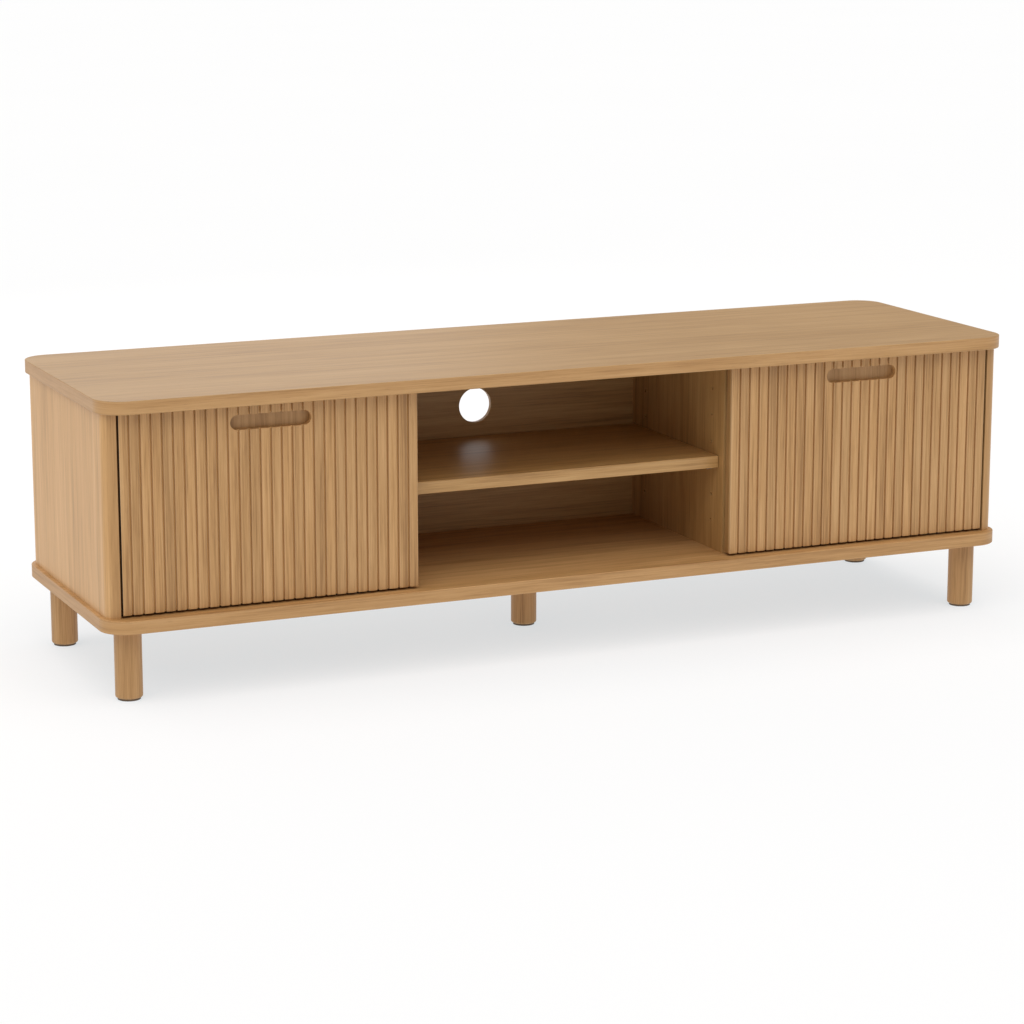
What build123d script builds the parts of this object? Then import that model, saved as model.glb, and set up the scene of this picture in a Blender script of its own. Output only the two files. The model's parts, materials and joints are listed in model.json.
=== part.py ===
from build123d import *
import os
from math import atan2, cos, degrees, hypot, radians, sin, sqrt

# Media cabinet on five round legs: an open middle bay with a loose shelf, and a
# fluted drop-down flap each side of it.
# Millimetres.  +X to the right, +Y to the back, +Z up.  The origin is on the floor,
# under the middle of the cabinet.

# ---- carcass ---------------------------------------------------------------------
WIDTH = 1500.0            # top and bottom panels, end to end
DEPTH = 445.0             # top and bottom panels, front to back
BAY_HEIGHT = 300.0        # clear height between the two panels
PANEL_T = 20.0            # top and bottom panels
CORNER_R = 42.0           # plan radius of the panels' corners
ARRIS_R = 1.2             # softened edges of the panels, the shelf and the legs' tops
SIDE_LEDGE = 7.0          # panels stand out past the sides by this much
FACE_SETBACK = 20.0       # panels stand out past the door faces by this much
SIDE_T = 20.0
POST_R = 18.0             # rounded outer corner of each post
FRONT_POST_D = 50.0
REAR_POST_D = 40.0
DIVIDER_T = 20.0
MIDDLE_BAY = 524.0        # between the dividers
DIVIDER_GAP = 6.5         # door back to divider front edge
BACK_T = 8.0
BACK_SETBACK = 68.5       # back panel's rear face in from the panels' back edge
GROOVE_D = 6.0            # grooves that hold the back panel
CABLE_HOLE_R = 28.0
CABLE_HOLE_X = -21.0
CABLE_HOLE_RISE = 203.0   # hole centre above the bottom panel

# ---- shelf -----------------------------------------------------------------------
SHELF_T = 19.0
SHELF_RISE = 134.0        # underside above the bottom panel
SHELF_SETBACK = 17.0      # shelf front behind the dividers' front edges
SHELF_PLAY = 1.0          # each end of the shelf
SHELF_BACK_GAP = 2.0
PEG_R = 2.5
PEG_IN = 9.0              # peg length inside the divider
PEG_OUT = 8.0             # length of the spoon under the shelf
SPOON_T = 1.5
SPOON_W = 7.0
PEG_PITCH = 42.0
PEG_ROWS = 6
PEGS_BELOW_SHELF = 2
PEG_FRONT_IN = 41.5       # front row of holes behind the dividers' front edges
PEG_REAR_IN = 46.0        # rear row of holes in front of the back panel

# ---- legs ------------------------------------------------------------------------
LEG_R = 20.3
LEG_H = 105.0
LEG_FOOT_R = 3.0
GLIDE_T = 3.0
GLIDE_R = 17.0
GLIDE_STEM_R = 2.5
GLIDE_STEM_H = 12.0
LEG_INSET_X = 45.0        # leg centre in from the panel's end
LEG_INSET_Y = 51.5        # leg centre in from the panel's front or back edge
LEG_BOLT_R = 4.0
LEG_BOLT_IN = 40.0
INSERT_R = 5.5
INSERT_H = 14.0

# ---- doors -----------------------------------------------------------------------
BOARD_T = 13.0
SLAT_T = 5.0
SLAT_COUNT = 28
SLAT_GAP = 3.0
SLAT_ARRIS = 1.8
SLAT_FOOT_R = 3.0         # rounded lower end, so the opening flap clears the panel
DOOR_SIDE_GAP = 3.0
DOOR_TOP_GAP = 3.0
DOOR_FOOT_GAP = 4.0
PULL_L = 124.0            # finger pull, a pocket with round ends
PULL_H = 22.0
PULL_DROP = 23.5          # door top to the middle of the pull
PULL_POCKET = 7.0         # depth of the pocket in the board

# ---- flap hinges -----------------------------------------------------------------
AXIS_BEHIND_FACE = 10.5
AXIS_ABOVE_FOOT = 11.0
PIN_R = 2.0
RUN_CLEAR = 0.05          # radial clearance of every turning pin
KNUCKLE_R = 3.5
FIXED_EAR_T = 5.5
LEAF_EAR_T = 2.5
EAR_CLEAR = 0.5           # between neighbouring ears
NOTCH_W = 18.0
NOTCH_SKIN = 1.5          # board left in front of the notch
NOTCH_OVER = 4.5          # notch ceiling above the hinge axis
HINGE_W = 30.0
HINGE_INSET = 70.0        # hinge centres in from the two edges of the door
LEAF_T = 2.0
LEAF_H = 36.0
LEAF_FOOT = 6.5           # leaf's lower edge above the hinge axis
FOOT_PLATE_T = 2.5
FOOT_PLATE_D = 30.0
UPRIGHT_BACK = 16.0       # upright of the fixed bracket behind the hinge axis
UPRIGHT_T = 6.0
SCREW_R = 1.5
SCREW_HEAD_R = 3.2
SCREW_HEAD_T = 1.6
SCREW_IN = 10.0           # screw length in the wood
SCREW_SPREAD = 1 / 3      # two screws each side of a plate's middle, as a share of it
LEAF_SCREW_SPREAD = 0.25
LEAF_SCREW_UP = 0.65      # height of the leaf's screws, as a share of the leaf
FOOT_SCREW_BACK = 0.6     # depth of the foot plate's screws, as a share of the plate
STRIKE_SCREW_SPREAD = 0.4
OVERLAP = 1.0             # how far a fused or cutting piece runs past its neighbour

# ---- flap stays ------------------------------------------------------------------
OPEN_DEG = 90.0
STAY_R = 140.0            # hinge axis to each of the stay's two pivots
STAY_SPREAD = 70.0        # angle between the two pivots at the hinge axis, flap shut
STAY_OFF_SIDE = 14.0      # stay's middle plane in from the cabinet side
TUBE_R = 6.0
TUBE_BORE_R = 4.0
TUBE_CAP_T = 3.0
TUBE_START = 6.5          # from the cabinet pivot to the tube's closed end
BORE_START = 8.5
STAY_ROD_R = 3.0
PISTON_R = 3.6
PISTON_L = 8.0
PISTON_PLAY = 1.85        # between the piston and the tube's cap, flap open
SLIDE_CLEAR = 0.4
ROD_SPARE = 10.0          # from the cabinet pivot to the rod's end, flap shut
EYE_R = 5.0
EYE_T = 7.0
EYE_OFF_PLATE = 1.5       # rod's eye clear of the plate on the door
STUD_R = 2.5
STUD_HEAD_R = 4.0
STUD_HEAD_T = 1.6
STUD_PLAY = 0.5
STAY_PLATE_T = 2.0
STAY_PLATE_W = 24.0
STAY_PLATE_H = 40.0

# ---- catches, bumpers and joinery ------------------------------------------------
CATCH_W, CATCH_D, CATCH_H = 46.0, 18.0, 14.0
CATCH_GAP = 1.5           # magnet face to strike plate
MAGNET_W, MAGNET_H, MAGNET_T = 30.0, 6.0, 4.0
STRIKE_W, STRIKE_H, STRIKE_T = 70.0, 12.0, 1.5
STRIKE_DROP = 1.0         # strike plate below the door's top edge
BUMPER_R = 4.0
BUMPER_CLEAR = 0.5
BUMPER_DROP = 25.0        # bumper centre below the door's top edge
CAM_R, CAM_H = 7.5, 12.5
CAM_IN = 24.0             # cam centre from the end of its board
CAM_BOLT_R = 3.5
CAM_BOLT_IN = 10.0        # cam bolt's thread in the panel
CAM_EDGE = 50.0           # cam centres in from the front and back edges of a board
CAM_SLOT_W, CAM_SLOT_D = 2.0, 2.5
DOWEL_R = 4.0
DOWEL_IN = 12.0           # dowel length in each of the two pieces
JOINT_DOWEL_END = 60.0    # dowels between post and side, in from their two ends
BACK_SCREW_END = 50.0

# ---- levels and planes -----------------------------------------------------------
END_X = WIDTH / 2
FRONT_Y = -DEPTH / 2
BACK_Y = DEPTH / 2
PANEL_FOOT = GLIDE_T + LEG_H
FLOOR_Z = PANEL_FOOT + PANEL_T
CEILING_Z = FLOOR_Z + BAY_HEIGHT
TOP_Z = CEILING_Z + PANEL_T
SIDE_OUT = END_X - SIDE_LEDGE
SIDE_IN = SIDE_OUT - SIDE_T
FACE_Y = FRONT_Y + FACE_SETBACK
REAR_FACE_Y = -FACE_Y
SIDE_FRONT = FACE_Y + FRONT_POST_D
SIDE_BACK = REAR_FACE_Y - REAR_POST_D
DOOR_T = SLAT_T + BOARD_T
BOARD_FRONT = FACE_Y + SLAT_T
DOOR_BACK = FACE_Y + DOOR_T
DIVIDER_FRONT = DOOR_BACK + DIVIDER_GAP
DIVIDER_IN = MIDDLE_BAY / 2
DIVIDER_OUT = DIVIDER_IN + DIVIDER_T
BACK_REAR = BACK_Y - BACK_SETBACK
BACK_FRONT = BACK_REAR - BACK_T
DOOR_IN = DIVIDER_IN
DOOR_OUT = SIDE_IN - DOOR_SIDE_GAP
DOOR_MID = (DOOR_IN + DOOR_OUT) / 2
DOOR_FOOT = FLOOR_Z + DOOR_FOOT_GAP
DOOR_TOP = CEILING_Z - DOOR_TOP_GAP
HINGE_Y = FACE_Y + AXIS_BEHIND_FACE
HINGE_Z = DOOR_FOOT + AXIS_ABOVE_FOOT
HINGE_XS = [DIVIDER_OUT + HINGE_INSET, DOOR_OUT - HINGE_INSET]
SHELF_Z = FLOOR_Z + SHELF_RISE
SHELF_FRONT = DIVIDER_FRONT + SHELF_SETBACK
SHELF_BACK = BACK_FRONT - SHELF_BACK_GAP
LEG_SPOTS = {
    "front_left_leg": (-END_X + LEG_INSET_X, FRONT_Y + LEG_INSET_Y),
    "front_right_leg": (END_X - LEG_INSET_X, FRONT_Y + LEG_INSET_Y),
    "rear_left_leg": (-END_X + LEG_INSET_X, BACK_Y - LEG_INSET_Y),
    "rear_right_leg": (END_X - LEG_INSET_X, BACK_Y - LEG_INSET_Y),
    "center_leg": (0.0, 0.0),
}

os.makedirs("parts", exist_ok=True)


def block(x0, x1, y0, y1, z0, z1):
    """A box between two corners."""
    centre = Pos((x0 + x1) / 2, (y0 + y1) / 2, (z0 + z1) / 2)
    return centre * Box(x1 - x0, y1 - y0, z1 - z0)


def round_bar(start, direction, radius, length):
    """A cylinder that starts at a point and runs along a direction."""
    bar = Cylinder(radius, length, align=(Align.CENTER, Align.CENTER, Align.MIN))
    return Plane(origin=start, z_dir=direction) * bar


def plate_yz(outline, x0, x1):
    """A flat piece cut to an outline of (y, z) points, between two X planes."""
    face = make_face(Polyline([(x0, y, z) for y, z in outline], close=True))
    return extrude(face, amount=x1 - x0, dir=(1, 0, 0))


def save(name, *solids):
    """Write one node; a group of like pieces is one node of separate solids."""
    pieces = [s for item in solids for s in item.solids()]
    shape = pieces[0] if len(pieces) == 1 else Compound(children=pieces)
    shape.label = name
    export_step(shape, f"parts/{name}.step")


def flip(shape):
    return mirror(shape, about=Plane.YZ)


def save_pair(name, *right):
    """Write the right-hand node and its mirror image on the left."""
    save(f"right_{name}", *right)
    save(f"left_{name}", *[flip(item) for item in right])


def screw(point, direction, length=SCREW_IN):
    """A screw whose head's underside is at the point; it runs in along direction."""
    way = Vector(*direction)
    head_top = Vector(*point) - way * SCREW_HEAD_T
    return round_bar(point, direction, SCREW_R, length) + round_bar(
        head_top, direction, SCREW_HEAD_R, SCREW_HEAD_T)


def pilot(point, direction, length=SCREW_IN):
    return round_bar(point, direction, SCREW_R, length)


# ---- joinery positions (right half; the left half mirrors them) ------------------
def cam_spots():
    """Cam centres: (x of the board's middle, face side, y, z, direction to panel)."""
    spots = []
    for x0, x1, y0, y1, face in (
            (SIDE_IN, SIDE_OUT, SIDE_FRONT, SIDE_BACK, -1),
            (DIVIDER_IN, DIVIDER_OUT, DIVIDER_FRONT, BACK_FRONT, 1)):
        for y in (y0 + CAM_EDGE, y1 - CAM_EDGE):
            for z, up in ((CEILING_Z, 1), (FLOOR_Z, -1)):
                spots.append(((x0 + x1) / 2, x0 if face < 0 else x1, face, y, z, up))
    return spots


def cam_body(spot):
    _middle, surface, face, y, z, up = spot
    centre = (surface, y, z - up * CAM_IN)
    return round_bar(centre, (-face, 0, 0), CAM_R, CAM_H)


def cam_bolt(spot):
    middle, _surface, _face, y, z, up = spot
    start = (middle, y, z + up * CAM_BOLT_IN)
    return round_bar(start, (0, 0, -up), CAM_BOLT_R, CAM_BOLT_IN + CAM_IN)


def panel_dowels():
    """Dowels that locate each upright piece in the top and bottom panels."""
    middle = (SIDE_IN + SIDE_OUT) / 2
    spots = [(middle, FACE_Y + FRONT_POST_D / 2), (middle, REAR_FACE_Y - REAR_POST_D / 2),
             (middle, 0.0), ((DIVIDER_IN + DIVIDER_OUT) / 2, 0.0)]
    return [round_bar((x, y, z - DOWEL_IN), (0, 0, 1), DOWEL_R, 2 * DOWEL_IN)
            for x, y in spots for z in (FLOOR_Z, CEILING_Z)]


def post_dowels():
    """Dowels between each post and the side panel."""
    middle = (SIDE_IN + SIDE_OUT) / 2
    return [round_bar((middle, y - DOWEL_IN, z), (0, 1, 0), DOWEL_R, 2 * DOWEL_IN)
            for y in (SIDE_FRONT, SIDE_BACK)
            for z in (FLOOR_Z + JOINT_DOWEL_END, CEILING_Z - JOINT_DOWEL_END)]


CAMS = cam_spots()
CAM_BOLTS = [cam_bolt(spot) for spot in CAMS]
DOWELS = panel_dowels() + post_dowels()
BACK_PANEL_SPACE = block(-SIDE_IN - GROOVE_D, SIDE_IN + GROOVE_D, BACK_FRONT, BACK_REAR,
                         FLOOR_Z - GROOVE_D, CEILING_Z + GROOVE_D)


# ---- top and bottom panels -------------------------------------------------------
def rounded_panel(foot):
    plan = Pos(0, 0, foot) * RectangleRounded(WIDTH, DEPTH, CORNER_R)
    panel = extrude(plan, amount=PANEL_T)
    rims = panel.edges().filter_by(lambda e: abs(e.center().Z - foot) < 0.01
                                   or abs(e.center().Z - foot - PANEL_T) < 0.01)
    panel = fillet(rims, ARRIS_R)
    holes = CAM_BOLTS + DOWELS
    return panel - BACK_PANEL_SPACE - holes - [flip(hole) for hole in holes]


CATCH_FRONT = DOOR_BACK + STRIKE_T + CATCH_GAP
CATCH_SCREWS = [((DOOR_MID + s * CATCH_W * SCREW_SPREAD, CATCH_FRONT + CATCH_D / 2,
                  CEILING_Z - CATCH_H), (0, 0, 1)) for s in (-1, 1)]

top_panel = rounded_panel(CEILING_Z)
for point, way in CATCH_SCREWS:
    hole = pilot(point, way, CATCH_H + SCREW_IN)
    top_panel = top_panel - hole - flip(hole)
save("top_panel", top_panel)

FOOT_PLATE_FRONT = HINGE_Y + UPRIGHT_BACK
BRACKET_SCREWS = [((x + s * HINGE_W * SCREW_SPREAD,
                    FOOT_PLATE_FRONT + FOOT_PLATE_D * FOOT_SCREW_BACK,
                    FLOOR_Z + FOOT_PLATE_T), (0, 0, -1))
                  for x in HINGE_XS for s in (-1, 1)]

bottom_panel = rounded_panel(PANEL_FOOT)
for x, y in LEG_SPOTS.values():
    bottom_panel = bottom_panel - round_bar((x, y, PANEL_FOOT), (0, 0, 1), INSERT_R, INSERT_H)
for point, way in BRACKET_SCREWS:
    hole = pilot(point, way, FOOT_PLATE_T + SCREW_IN)
    bottom_panel = bottom_panel - hole - flip(hole)
save("bottom_panel", bottom_panel)

# ---- sides and corner posts ------------------------------------------------------
STAY_BEHIND_AXIS = DOOR_T - AXIS_BEHIND_FACE + STAY_PLATE_T + EYE_OFF_PLATE + EYE_R
HINGE_TO_DOOR_PIVOT = degrees(atan2(sqrt(STAY_R ** 2 - STAY_BEHIND_AXIS ** 2),
                                    STAY_BEHIND_AXIS))
SIDE_PIVOT_DEG = HINGE_TO_DOOR_PIVOT - STAY_SPREAD
STAY_X = SIDE_IN - STAY_OFF_SIDE


def on_hinge_circle(angle):
    return (HINGE_Y + STAY_R * cos(radians(angle)), HINGE_Z + STAY_R * sin(radians(angle)))


SIDE_PIVOT = on_hinge_circle(SIDE_PIVOT_DEG)
DOOR_PIVOT = on_hinge_circle(HINGE_TO_DOOR_PIVOT)
SHUT_L = 2 * STAY_R * sin(radians(STAY_SPREAD / 2))
OPEN_L = 2 * STAY_R * sin(radians((STAY_SPREAD + OPEN_DEG) / 2))
ROD_ENGAGED = PISTON_L + PISTON_PLAY + TUBE_CAP_T
TUBE_L = OPEN_L - SHUT_L + ROD_SPARE + ROD_ENGAGED    # cabinet pivot to the tube's mouth
STAY_WAY = ((DOOR_PIVOT[0] - SIDE_PIVOT[0]) / SHUT_L, (DOOR_PIVOT[1] - SIDE_PIVOT[1]) / SHUT_L)
SIDE_PLATE_SCREWS = [((SIDE_IN - STAY_PLATE_T, SIDE_PIVOT[0],
                       SIDE_PIVOT[1] + s * STAY_PLATE_H * SCREW_SPREAD), (1, 0, 0))
                     for s in (-1, 1)]

side_panel = block(SIDE_IN, SIDE_OUT, SIDE_FRONT, SIDE_BACK, FLOOR_Z, CEILING_Z)
side_panel = side_panel - BACK_PANEL_SPACE - [cam_body(s) for s in CAMS] - CAM_BOLTS - DOWELS
side_panel = side_panel - [pilot(p, d, STAY_PLATE_T + SCREW_IN) for p, d in SIDE_PLATE_SCREWS]
save_pair("side_panel", side_panel)


def corner_post(y_outer, y_inner):
    """A solid post, one board thick, with its outer corner rounded."""
    post = block(SIDE_IN, SIDE_OUT, min(y_outer, y_inner), max(y_outer, y_inner),
                 FLOOR_Z, CEILING_Z)
    corner = post.edges().filter_by(Axis.Z).sort_by_distance((SIDE_OUT, y_outer, 0))[0]
    return fillet(corner, POST_R) - DOWELS


save_pair("front_post", corner_post(FACE_Y, SIDE_FRONT))
save_pair("rear_post", corner_post(REAR_FACE_Y, SIDE_BACK))

# ---- dividers, with two rows of shelf peg holes ----------------------------------
PEG_Z = SHELF_Z - SPOON_T - PEG_R
PEG_YS = (DIVIDER_FRONT + PEG_FRONT_IN, BACK_FRONT - PEG_REAR_IN)
BACK_SCREW_ZS = (FLOOR_Z + BACK_SCREW_END, (FLOOR_Z + CEILING_Z) / 2,
                 CEILING_Z - BACK_SCREW_END)
BACK_SCREWS = [(((DIVIDER_IN + DIVIDER_OUT) / 2, BACK_REAR, z), (0, -1, 0))
               for z in BACK_SCREW_ZS]
BUMPER_Z = DOOR_TOP - BUMPER_DROP

divider = block(DIVIDER_IN, DIVIDER_OUT, DIVIDER_FRONT, BACK_FRONT, FLOOR_Z, CEILING_Z)
divider = divider - [cam_body(s) for s in CAMS] - CAM_BOLTS - DOWELS
divider = divider - [pilot(p, d, BACK_T + SCREW_IN) for p, d in BACK_SCREWS]
divider = divider - [round_bar((DIVIDER_IN, y, PEG_Z + row * PEG_PITCH), (1, 0, 0), PEG_R, PEG_IN)
                     for y in PEG_YS
                     for row in range(-PEGS_BELOW_SHELF, PEG_ROWS - PEGS_BELOW_SHELF)]
save_pair("divider", divider)

# ---- back panel ------------------------------------------------------------------
back_panel = BACK_PANEL_SPACE - round_bar(
    (CABLE_HOLE_X, BACK_FRONT, FLOOR_Z + CABLE_HOLE_RISE), (0, 1, 0), CABLE_HOLE_R, BACK_T)
for point, way in BACK_SCREWS:
    hole = pilot(point, way, BACK_T)
    back_panel = back_panel - hole - flip(hole)
save("back_panel", back_panel)
back_screws = [screw(p, d, BACK_T + SCREW_IN) for p, d in BACK_SCREWS]
save("back_panel_screws", *back_screws, *[flip(s) for s in back_screws])

# ---- shelf and its pegs ----------------------------------------------------------
SHELF_END = DIVIDER_IN - SHELF_PLAY
shelf = block(-SHELF_END, SHELF_END, SHELF_FRONT, SHELF_BACK, SHELF_Z, SHELF_Z + SHELF_T)
front_edges = shelf.edges().filter_by(Axis.X).group_by(Axis.Y)[0]
save("center_shelf", fillet(front_edges, ARRIS_R))


def shelf_peg(y):
    peg = round_bar((DIVIDER_IN, y, PEG_Z), (1, 0, 0), PEG_R, PEG_IN)
    peg += round_bar((DIVIDER_IN - PEG_OUT, y, PEG_Z), (1, 0, 0), PEG_R, PEG_OUT)
    return peg + block(DIVIDER_IN - PEG_OUT, DIVIDER_IN, y - SPOON_W / 2, y + SPOON_W / 2,
                       SHELF_Z - SPOON_T, SHELF_Z)


pegs = [shelf_peg(y) for y in PEG_YS]
save("shelf_pegs", *pegs, *[flip(p) for p in pegs])

# ---- legs, their bolts, inserts and glides ---------------------------------------
bolts, inserts, glides = [], [], []
for name, (x, y) in LEG_SPOTS.items():
    leg = round_bar((x, y, GLIDE_T), (0, 0, 1), LEG_R, LEG_H)
    leg = fillet(leg.edges().group_by(Axis.Z)[0], LEG_FOOT_R)
    leg -= round_bar((x, y, PANEL_FOOT - LEG_BOLT_IN), (0, 0, 1), LEG_BOLT_R, LEG_BOLT_IN)
    leg -= round_bar((x, y, GLIDE_T), (0, 0, 1), GLIDE_STEM_R, GLIDE_STEM_H)
    save(name, leg)
    bolts.append(round_bar((x, y, PANEL_FOOT - LEG_BOLT_IN), (0, 0, 1), LEG_BOLT_R,
                           LEG_BOLT_IN + INSERT_H))
    sleeve = round_bar((x, y, PANEL_FOOT), (0, 0, 1), INSERT_R, INSERT_H)
    inserts.append(sleeve - round_bar((x, y, PANEL_FOOT), (0, 0, 1), LEG_BOLT_R, INSERT_H))
    glides.append(round_bar((x, y, 0), (0, 0, 1), GLIDE_R, GLIDE_T)
                  + round_bar((x, y, GLIDE_T), (0, 0, 1), GLIDE_STEM_R, GLIDE_STEM_H))
save("leg_bolts", *bolts)
save("leg_inserts", *inserts)
save("glides", *glides)

# ---- cams, cam bolts and dowels --------------------------------------------------
cams = []
for spot in CAMS:
    _middle, surface, face, y, z, up = spot
    cam = cam_body(spot) - cam_bolt(spot)
    slot_x = sorted((surface, surface - face * CAM_SLOT_D))
    cam -= block(*slot_x, y - CAM_SLOT_W / 2, y + CAM_SLOT_W / 2,
                 z - up * CAM_IN - CAM_R / 2, z - up * CAM_IN + CAM_R / 2)
    cams.append(cam)
save("cam_locks", *cams, *[flip(c) for c in cams])
save("cam_bolts", *CAM_BOLTS, *[flip(b) for b in CAM_BOLTS])
save("dowels", *DOWELS, *[flip(d) for d in DOWELS])

# ---- doors: a board faced with separate slats ------------------------------------
SLAT_PITCH = (DOOR_OUT - DOOR_IN + SLAT_GAP) / SLAT_COUNT
SLAT_W = SLAT_PITCH - SLAT_GAP
PULL_Z = DOOR_TOP - PULL_DROP
LEAF_BACK = DOOR_BACK + LEAF_T


def pull_cutter(y0, y1):
    """The finger pull's round-ended outline, between two Y planes."""
    outline = Plane(origin=(DOOR_MID, y0, PULL_Z), x_dir=(1, 0, 0), z_dir=(0, -1, 0))
    return extrude(outline * SlotOverall(PULL_L, PULL_H), amount=y0 - y1)


def door_slats():
    cutter = pull_cutter(FACE_Y - OVERLAP, BOARD_FRONT)
    slats = []
    for i in range(SLAT_COUNT):
        x = DOOR_IN + i * SLAT_PITCH
        slat = block(x, x + SLAT_W, FACE_Y, BOARD_FRONT, DOOR_FOOT, DOOR_TOP)
        arrises = slat.edges().filter_by(Axis.Z).group_by(Axis.Y)[0]
        slat = fillet(arrises, SLAT_ARRIS)
        foot = slat.edges().filter_by(Axis.X).group_by(Axis.Z)[0].sort_by(Axis.Y)[0]
        slats.append(fillet(foot, SLAT_FOOT_R) - cutter)
    return slats


LEAF_SCREWS = [((x + s * HINGE_W * LEAF_SCREW_SPREAD, LEAF_BACK,
                 HINGE_Z + LEAF_FOOT + LEAF_H * LEAF_SCREW_UP), (0, -1, 0))
               for x in HINGE_XS for s in (-1, 1)]
STRIKE_TOP = DOOR_TOP - STRIKE_DROP
STRIKE_SCREWS = [((DOOR_MID + s * STRIKE_W * STRIKE_SCREW_SPREAD, DOOR_BACK + STRIKE_T,
                   STRIKE_TOP - STRIKE_H / 2), (0, -1, 0)) for s in (-1, 1)]
DOOR_PLATE_X = STAY_X + EYE_T / 2 + STUD_PLAY + STAY_PLATE_T
DOOR_PLATE_SCREWS = [((DOOR_PLATE_X - STAY_PLATE_W / 2, DOOR_BACK + STAY_PLATE_T,
                       DOOR_PIVOT[1] + s * STAY_PLATE_H * SCREW_SPREAD), (0, -1, 0))
                     for s in (-1, 1)]

board = block(DOOR_IN, DOOR_OUT, BOARD_FRONT, DOOR_BACK, DOOR_FOOT, DOOR_TOP)
board -= pull_cutter(BOARD_FRONT, BOARD_FRONT + PULL_POCKET)
for x in HINGE_XS:
    board -= block(x - NOTCH_W / 2, x + NOTCH_W / 2, BOARD_FRONT + NOTCH_SKIN, DOOR_BACK,
                   DOOR_FOOT, HINGE_Z + NOTCH_OVER)
board = board - [pilot(p, d, LEAF_T + SCREW_IN) for p, d in LEAF_SCREWS + DOOR_PLATE_SCREWS]
board = board - [pilot(p, d, STRIKE_T + SCREW_IN) for p, d in STRIKE_SCREWS]
save_pair("door_board", board)
save_pair("door_slats", *door_slats())

# ---- flap hinges -----------------------------------------------------------------
LEAF_EAR_IN = FIXED_EAR_T / 2 + EAR_CLEAR
LEAF_EAR_OUT = LEAF_EAR_IN + LEAF_EAR_T


def hinge_bracket(x):
    """Fixed half: a foot plate behind the door and one ear that reaches the pin."""
    half = FIXED_EAR_T / 2
    low, high = HINGE_Z - KNUCKLE_R, HINGE_Z + KNUCKLE_R
    bracket = block(x - HINGE_W / 2, x + HINGE_W / 2, FOOT_PLATE_FRONT,
                    FOOT_PLATE_FRONT + FOOT_PLATE_D, FLOOR_Z, FLOOR_Z + FOOT_PLATE_T)
    bracket += block(x - half, x + half, HINGE_Y, FOOT_PLATE_FRONT + UPRIGHT_T, low, high)
    bracket += block(x - half, x + half, FOOT_PLATE_FRONT, FOOT_PLATE_FRONT + UPRIGHT_T,
                     FLOOR_Z, high)
    gusset = [(FOOT_PLATE_FRONT + UPRIGHT_T, FLOOR_Z + FOOT_PLATE_T),
              (FOOT_PLATE_FRONT + FOOT_PLATE_D, FLOOR_Z + FOOT_PLATE_T),
              (FOOT_PLATE_FRONT + UPRIGHT_T, high)]
    bracket += plate_yz(gusset, x - half, x + half)
    bracket += round_bar((x - half, HINGE_Y, HINGE_Z), (1, 0, 0), KNUCKLE_R, FIXED_EAR_T)
    return bracket - round_bar((x - half, HINGE_Y, HINGE_Z), (1, 0, 0),
                               PIN_R + RUN_CLEAR, FIXED_EAR_T)


def hinge_leaf(x):
    """Moving half: a leaf on the door's back and two ears either side of the fixed one."""
    leaf_foot = HINGE_Z + LEAF_FOOT
    leaf = block(x - HINGE_W / 2, x + HINGE_W / 2, DOOR_BACK, LEAF_BACK,
                 leaf_foot, leaf_foot + LEAF_H)
    for ear in (x - LEAF_EAR_OUT, x + LEAF_EAR_IN):
        leaf += block(ear, ear + LEAF_EAR_T, HINGE_Y, LEAF_BACK,
                      HINGE_Z - KNUCKLE_R, HINGE_Z + KNUCKLE_R)
        leaf += block(ear, ear + LEAF_EAR_T, DOOR_BACK, LEAF_BACK, HINGE_Z, leaf_foot)
        leaf += round_bar((ear, HINGE_Y, HINGE_Z), (1, 0, 0), KNUCKLE_R, LEAF_EAR_T)
        leaf -= round_bar((ear, HINGE_Y, HINGE_Z), (1, 0, 0), PIN_R, LEAF_EAR_T)
    return leaf


def drilled(piece, screws, depth):
    return piece - [pilot(p, d, depth) for p, d in screws]


brackets = [drilled(hinge_bracket(x), BRACKET_SCREWS, FOOT_PLATE_T) for x in HINGE_XS]
leaves = [drilled(hinge_leaf(x), LEAF_SCREWS, LEAF_T) for x in HINGE_XS]
pins = [round_bar((x - LEAF_EAR_OUT, HINGE_Y, HINGE_Z), (1, 0, 0), PIN_R, 2 * LEAF_EAR_OUT)
        for x in HINGE_XS]
save_pair("hinge_brackets", *brackets)
save_pair("hinge_leaves", *leaves)
save_pair("hinge_pins", *pins)

# ---- flap stays ------------------------------------------------------------------
# Both pivots are the same distance from the hinge axis, so the stay always turns half
# as far as the flap, and the rod stays in line with its tube.
STUD_END = STAY_X - EYE_T / 2 - STUD_PLAY


def along_stay(distance):
    return (STAY_X, SIDE_PIVOT[0] + STAY_WAY[0] * distance,
            SIDE_PIVOT[1] + STAY_WAY[1] * distance)


def stay_run(start, end, radius):
    return round_bar(along_stay(start), (0, *STAY_WAY), radius, end - start)


def stud(pivot, root):
    """A pivot stud with a head, from a plate at x = root."""
    shank = round_bar((STUD_END, *pivot), (1, 0, 0), STUD_R, root - STUD_END)
    return shank + round_bar((STUD_END - STUD_HEAD_T, *pivot), (1, 0, 0),
                             STUD_HEAD_R, STUD_HEAD_T)


def eye(pivot):
    return round_bar((STAY_X - EYE_T / 2, *pivot), (1, 0, 0), EYE_R, EYE_T)


def eye_hole(pivot):
    return round_bar((STAY_X - EYE_T / 2, *pivot), (1, 0, 0), STUD_R + RUN_CLEAR, EYE_T)


tube = eye(SIDE_PIVOT) + stay_run(EYE_R - OVERLAP, TUBE_START, STAY_ROD_R)
tube += stay_run(TUBE_START, TUBE_L, TUBE_R)
tube -= stay_run(BORE_START, TUBE_L - TUBE_CAP_T, TUBE_BORE_R)
tube -= stay_run(BORE_START, TUBE_L, STAY_ROD_R + SLIDE_CLEAR)
tube -= eye_hole(SIDE_PIVOT)
save_pair("stay_tube", tube)

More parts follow.
